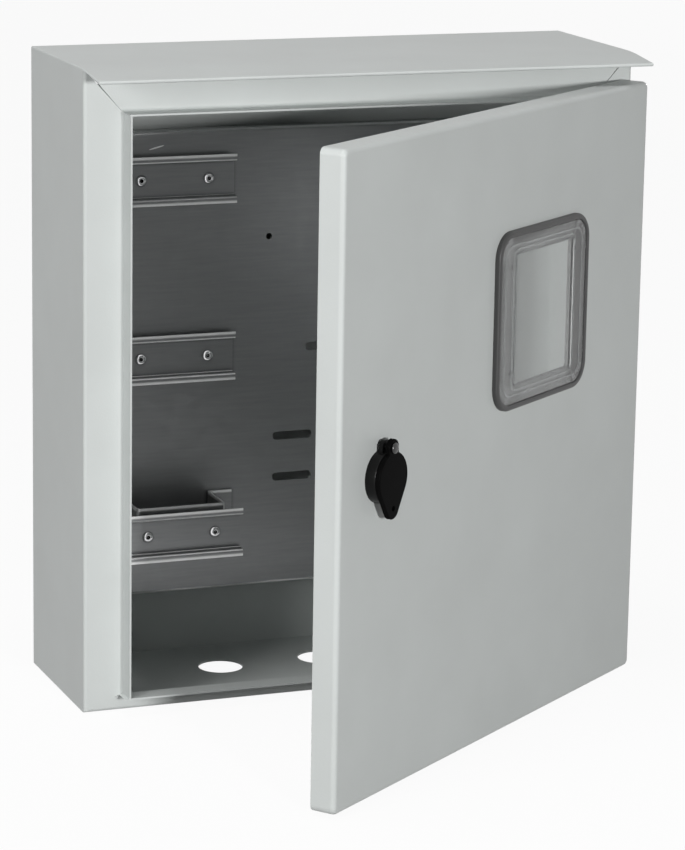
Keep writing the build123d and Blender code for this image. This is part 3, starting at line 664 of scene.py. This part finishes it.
def fit_hardware(name, node, tree, front=CABINET_FRONT, **sizes):
    """Makes the tree's pieces on the places of a node's solids and lets them stand for the node."""
    solids = solids_of(node, front)
    sizes = {"Radius": solids[0][1], "Height": solids[0][2], "Flats": ROUND, **sizes}
    piece = grow(name, node, tree, front, [base for base, radius, length in solids], **sizes)
    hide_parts(node)


print("edges stay sharp from", round(math.degrees(SHARP_EDGE)), "degrees")

# %% [markdown]
# ## Blind rivets
# A blind rivet is a hollow head whose stem has been pulled until it broke off inside. What the photograph shows of
# it is a bright domed ring round a dark hole. The outline runs from the bulb behind the sheet, up the shank, over
# the dome and down the hole to the broken stem. Lengths are millimetres, as on a drawing of the rivet.

# %% Rivets of the rails
RIVET_OUTLINE = [
    (0.0, 0.0), (1.5, 0.0), (2.3, 0.2), (2.7, 0.7), (2.8, 1.4), (2.75, 2.2), (2.5, 2.8), (2.0, 3.0),  # bulb
    (2.0, 4.2), (2.0, 5.5), (3.0, 5.5), (3.85, 5.5), (3.97, 5.55), (4.0, 5.65),  # shank and flat of the head
    (3.95, 5.8), (3.8, 6.0), (3.55, 6.22), (3.2, 6.44), (2.8, 6.62), (2.4, 6.73), (2.0, 6.79),  # dome
    (1.75, 6.8), (1.55, 6.77), (1.4, 6.68), (1.32, 6.55), (1.3, 6.4), (1.3, 5.0), (1.3, 3.4),  # mouth of the hole
    (1.1, 3.3), (0.9, 3.4), (0.55, 3.6), (0.25, 3.75), (0.0, 3.7),  # broken stem
]
rivet_tree = turned_piece("blind_rivet", RIVET_OUTLINE, spin=2 * math.pi)
fit_hardware("domed_rail_rivets", "rail_rivets", rivet_tree)

# %% [markdown]
# ## Hexagon nuts
# A real nut's corners are cut back by a cone on both faces, which leaves the curved edges that tell a nut from a
# plain prism. The outline is that cone, and the flats do the rest. It ends where it started, inside the thread.

# %% Nuts of the plate, the earth stud and the lock
BORE_CHAMFER = 0.08
CORNER_CUT = 0.12
FACE_RIM = 0.97
CONE_RISE = (0.25, 0.6)  # the cone's height at a third and two thirds of its width
ROUND_CORNER = 1.0 / math.cos(HALF_FLAT)
NUT_TURN = math.radians(20.0)


def nut_tree(name, bore, spin):
    """A chamfered nut, as shares of half its flats and of its height; bore is the hole's share."""
    mouth = bore + BORE_CHAMFER
    face_middle = (mouth + FACE_RIM) / 2
    cone = (ROUND_CORNER - FACE_RIM) / 3
    lower_half = [
        (bore, 0.5), (bore, CORNER_CUT), (mouth, 0.0), (face_middle, 0.0), (FACE_RIM, 0.0),
        (FACE_RIM + cone, CONE_RISE[0] * CORNER_CUT), (FACE_RIM + 2 * cone, CONE_RISE[1] * CORNER_CUT),
        (ROUND_CORNER, CORNER_CUT), (ROUND_CORNER, 0.5),
    ]
    upper_half = [(radius, 1.0 - height) for radius, height in reversed(lower_half)]
    outline = lower_half + upper_half[1:]
    return turned_piece(name, outline, spin)


def fit_nuts(name, node, bore, spin, front=CABINET_FRONT):
    """Chamfered nuts on the places of a node; bore is the thread's radius in metres."""
    flats = solids_of(node, front)[0][1]
    tree = nut_tree(name + "_tree", bore / flats, spin)
    fit_hardware(name, node, tree, front, Radius=flats * ROUND_CORNER, Flats=flats)


fit_nuts("chamfered_plate_nuts", "plate_nuts", bore=0.00305, spin=NUT_TURN)
fit_nuts("chamfered_earth_nut", "earth_nut", bore=0.00405, spin=NUT_TURN)
fit_nuts("chamfered_lock_nut", "lock_nut", bore=0.00855, spin=0.0, front=door_front)

# %% [markdown]
# ## Screws and the cap's pivot
# The cam's screw has a pan head with a round drive recess, and the dust cap turns on a black pin whose end is
# spread into a low dome. Both are turned pieces again. The screw's head is behind, so its outline starts there.

# %% Cam screw and cap pivot
CAM_SCREW_OUTLINE = [
    (0.0, 1.6), (1.3, 1.6), (1.9, 1.5), (2.0, 0.2), (2.3, 0.0), (3.4, 0.15), (4.3, 0.55), (4.8, 1.1), (5.0, 1.8),
    (5.0, 2.35), (4.85, 2.5), (3.4, 2.5), (2.0, 2.5), (2.0, 7.0), (2.0, 11.8), (1.6, 12.2), (0.0, 12.2),
]
CAP_PIVOT_OUTLINE = [
    (0.0, 0.0), (1.8, 0.0), (2.2, 0.4), (2.2, 5.0), (2.2, 9.3), (3.4, 9.3), (3.6, 9.4), (3.6, 9.6), (3.5, 9.9),
    (3.25, 10.2), (2.9, 10.42), (2.4, 10.6), (1.9, 10.71), (1.4, 10.77), (0.9, 10.79), (0.4, 10.8), (0.0, 10.8),
]
fit_hardware("pan_cam_screw", "cam_screw", turned_piece("pan_screw", CAM_SCREW_OUTLINE), door_front)
fit_hardware("domed_cap_pivot", "cap_rivet", turned_piece("domed_pin", CAP_PIVOT_OUTLINE), door_front,
             Finish=pivot_black)

# %% [markdown]
# ## Threaded studs
# A thread is a ridge that climbs by one pitch in each turn. On the flat grid that is a zigzag whose phase slides
# with the angle, so no spiral has to be drawn: the radius drops by the zigzag times the thread's depth.

# %% Studs of the plate and of the earth point
ROWS_PER_PITCH = 8
THREAD_DEPTH = 0.61  # of the pitch
TIP = 0.6  # chamfer at the end, in pitches


def thread_tree(name, pitches):
    """A stud with that many pitches of thread."""
    tree, given = start_tree(name, ("Radius", "Height", "Pitch"))
    rows = ROWS_PER_PITCH * pitches
    grid, around, along = flat_grid(tree, rows)
    past_base = calculate(tree, "SUBTRACT", along, 1.0 / rows)  # the first and the last row close the ends
    stretched = calculate(tree, "DIVIDE", past_base, 1.0 - 2.0 / rows)
    inside = calculate(tree, "MINIMUM", calculate(tree, "MAXIMUM", stretched, 0.0), 1.0)
    height = calculate(tree, "MULTIPLY", inside, given["Height"])
    turns = calculate(tree, "DIVIDE", height, given["Pitch"])
    zigzag = calculate(tree, "PINGPONG", calculate(tree, "SUBTRACT", turns, around), 0.5)
    groove = calculate(tree, "MULTIPLY", zigzag, calculate(tree, "MULTIPLY", given["Pitch"], 2 * THREAD_DEPTH))
    left = calculate(tree, "SUBTRACT", calculate(tree, "DIVIDE", given["Height"], given["Pitch"]), turns)
    past_tip = calculate(tree, "MAXIMUM", calculate(tree, "SUBTRACT", TIP, left), 0.0)
    cut = calculate(tree, "MULTIPLY", past_tip, given["Pitch"])
    body = calculate(tree, "SUBTRACT", given["Radius"], calculate(tree, "MAXIMUM", groove, cut))
    ends = calculate(tree, "MULTIPLY", calculate(tree, "GREATER_THAN", along, 0.5 / rows),
                     calculate(tree, "LESS_THAN", along, 1.0 - 0.5 / rows))
    return end_tree(tree, given, grid, around, calculate(tree, "MULTIPLY", body, ends), height, 2 * math.pi)


def fit_studs(name, node, pitch):
    """Threaded studs on the places of a node; pitch is in metres."""
    length = solids_of(node, CABINET_FRONT)[0][2]
    fit_hardware(name, node, thread_tree(name + "_tree", round(length / pitch)), Pitch=pitch)


fit_studs("threaded_plate_studs", "plate_studs", pitch=0.001)
fit_studs("threaded_earth_stud", "earth_stud", pitch=0.00125)

# %% [markdown]
# ## Moulded lines of the pane
# The pane's border isn't flat: two thin half-round lines run round its clear middle and catch the light. A line
# that follows a path suits a tree well: a rectangle curve, its corners rounded, with a small circle swept along
# it. The lines are half sunk into the pane, so they only have to be set out from its edges.

# %% Lines round the clear middle
PANE_SHEET = 0.002
LINE_RADIUS = 0.0007
LINE_SIDES = 16
CORNER_STEPS = 10
PANE_LINES = {  # from the pane's sides, from its top and bottom, corner radius
    "pane_line_outer": (0.0055, 0.0055, 0.0085),
    "pane_line_inner": (0.016, 0.00875, 0.005),
}


def pane_line_tree():
    """A round line along a rounded rectangle."""
    tree, given = start_tree("pane_line", ("Width", "Height", "Corner", "Thickness"))
    path = add_node(tree, "GeometryNodeCurvePrimitiveQuadrilateral")
    tree.links.new(given["Width"], path.inputs["Width"])
    tree.links.new(given["Height"], path.inputs["Height"])
    rounded = add_node(tree, "GeometryNodeFilletCurve", {"mode": "POLY"}, Count=CORNER_STEPS)
    tree.links.new(path.outputs["Curve"], rounded.inputs["Curve"])
    tree.links.new(given["Corner"], rounded.inputs["Radius"])
    section = add_node(tree, "GeometryNodeCurvePrimitiveCircle", Resolution=LINE_SIDES)
    tree.links.new(given["Thickness"], section.inputs["Radius"])
    swept = add_node(tree, "GeometryNodeCurveToMesh")
    tree.links.new(rounded.outputs["Curve"], swept.inputs["Curve"])
    tree.links.new(section.outputs["Curve"], swept.inputs["Profile Curve"])
    return set_on_places(tree, given, swept.outputs["Mesh"], spin=0.0)


pane_low, pane_high = extent([vertex.co for vertex in nodes["window_pane"].data.vertices], door_front)
pane_middle = (pane_low + pane_high) / 2
pane_front = facing(door_front) @ Vector((pane_middle.x, pane_middle.y, pane_low.z + PANE_SHEET))
line_tree = pane_line_tree()
for name, (side, end, corner) in PANE_LINES.items():
    grow(name, "window_pane", line_tree, door_front, [pane_front], Thickness=LINE_RADIUS, Corner=corner,
         Width=pane_high.x - pane_low.x - 2 * side, Height=pane_high.y - pane_low.y - 2 * end)

# %% [markdown]
# ## Floor
# The photograph has a plain white ground, so the floor is white to the camera, to mirrors and to glass, while it
# still takes a soft shadow. For all other light it is a dark grey, because a white room would fill the dark inside
# of the box. It lies a hair under the box, so that the two never share a plane.

# %% Floor
FLOOR_HALF = 12.0
FLOOR_GAP = 0.0005
FLOOR_SHADOW = 0.06
FLOOR_SEEN = (0.85, 0.85, 0.85)
FLOOR_BOUNCE = (0.25, 0.25, 0.25)


def sees_background(tree):
    """1 for rays that look at the ground directly, in a mirror or through glass."""
    ray = add_node(tree, "ShaderNodeLightPath").outputs
    either = calculate(tree, "MAXIMUM", ray["Is Glossy Ray"], ray["Is Transmission Ray"])
    return calculate(tree, "MAXIMUM", ray["Is Camera Ray"], either)


floor_material, tree, shader = start_material("floor", Roughness=0.9)
tree.links.new(between(tree, sees_background(tree), FLOOR_BOUNCE, FLOOR_SEEN), shader.inputs["Base Color"])
white = add_node(tree, "ShaderNodeEmission", Strength=1.0)
share = calculate(tree, "MULTIPLY", sees_background(tree), 1.0 - FLOOR_SHADOW)
blend = add_node(tree, "ShaderNodeMixShader")
tree.links.new(share, blend.inputs["Fac"])
tree.links.new(shader.outputs["BSDF"], blend.inputs[1])
tree.links.new(white.outputs["Emission"], blend.inputs[2])
tree.links.new(blend.outputs["Shader"], tree.nodes["Material Output"].inputs["Surface"])

floor_z = cad_box[0].z - FLOOR_GAP
floor_mesh = bpy.data.meshes.new("floor")
corners = ((-1, -1), (1, -1), (1, 1), (-1, 1))
floor_mesh.from_pydata([(x * FLOOR_HALF, y * FLOOR_HALF, floor_z) for x, y in corners], [], [(0, 1, 2, 3)])
floor_mesh.materials.append(floor_material)
floor = bpy.data.objects.new("floor", floor_mesh)
scene.collection.objects.link(floor)
print("floor at", round(floor_z, 4))

# %% [markdown]
# ## World
# Behind the floor the white ground goes on: the world is white wherever it is seen, and nearly black as a light.

# %% World
AMBIENT = 0.01
world = bpy.data.worlds.new("studio")
scene.world = world
world.use_nodes = True
tree = world.node_tree
ground = tree.nodes["Background"]
ground.inputs["Color"].default_value = (1.0, 1.0, 1.0, 1.0)
tree.links.new(ranged(tree, sees_background(tree), AMBIENT, 1.0), ground.inputs["Strength"])
print("the world lights with", AMBIENT)

# %% [markdown]
# ## Light
# In the photograph the cabinet's flange and the door's edge are bright while the inside stays dark. One lamp
# straight in front does that: it is low, so that the door's upper edge keeps it out of the box. A large one on the
# left and one overhead light the side and the hood. One far behind, lower than the roof, serves the views from the
# back.

# %% Lights


def soft_light(name, azimuth, elevation, distance, size, power):
    """A square lamp that faces the middle of the box."""
    lamp_data = bpy.data.lights.new(name, "AREA")
    lamp_data.size = size
    lamp_data.energy = power
    lamp = bpy.data.objects.new(name, lamp_data)
    lamp.visible_camera = False
    scene.collection.objects.link(lamp)
    towards = direction(math.radians(azimuth), math.radians(elevation))
    lamp.location = camera_target + distance * towards
    lamp.rotation_mode = "QUATERNION"
    lamp.rotation_quaternion = (-towards).to_track_quat("-Z", "Y")


soft_light("left_light", azimuth=-60.0, elevation=15.0, distance=2.6, size=0.8, power=31.0)
soft_light("front_light", azimuth=2.0, elevation=9.3, distance=3.0, size=0.25, power=54.0)
soft_light("top_light", azimuth=-70.0, elevation=78.0, distance=2.2, size=0.9, power=19.0)
soft_light("back_light", azimuth=138.0, elevation=0.0, distance=6.0, size=0.5, power=90.0)
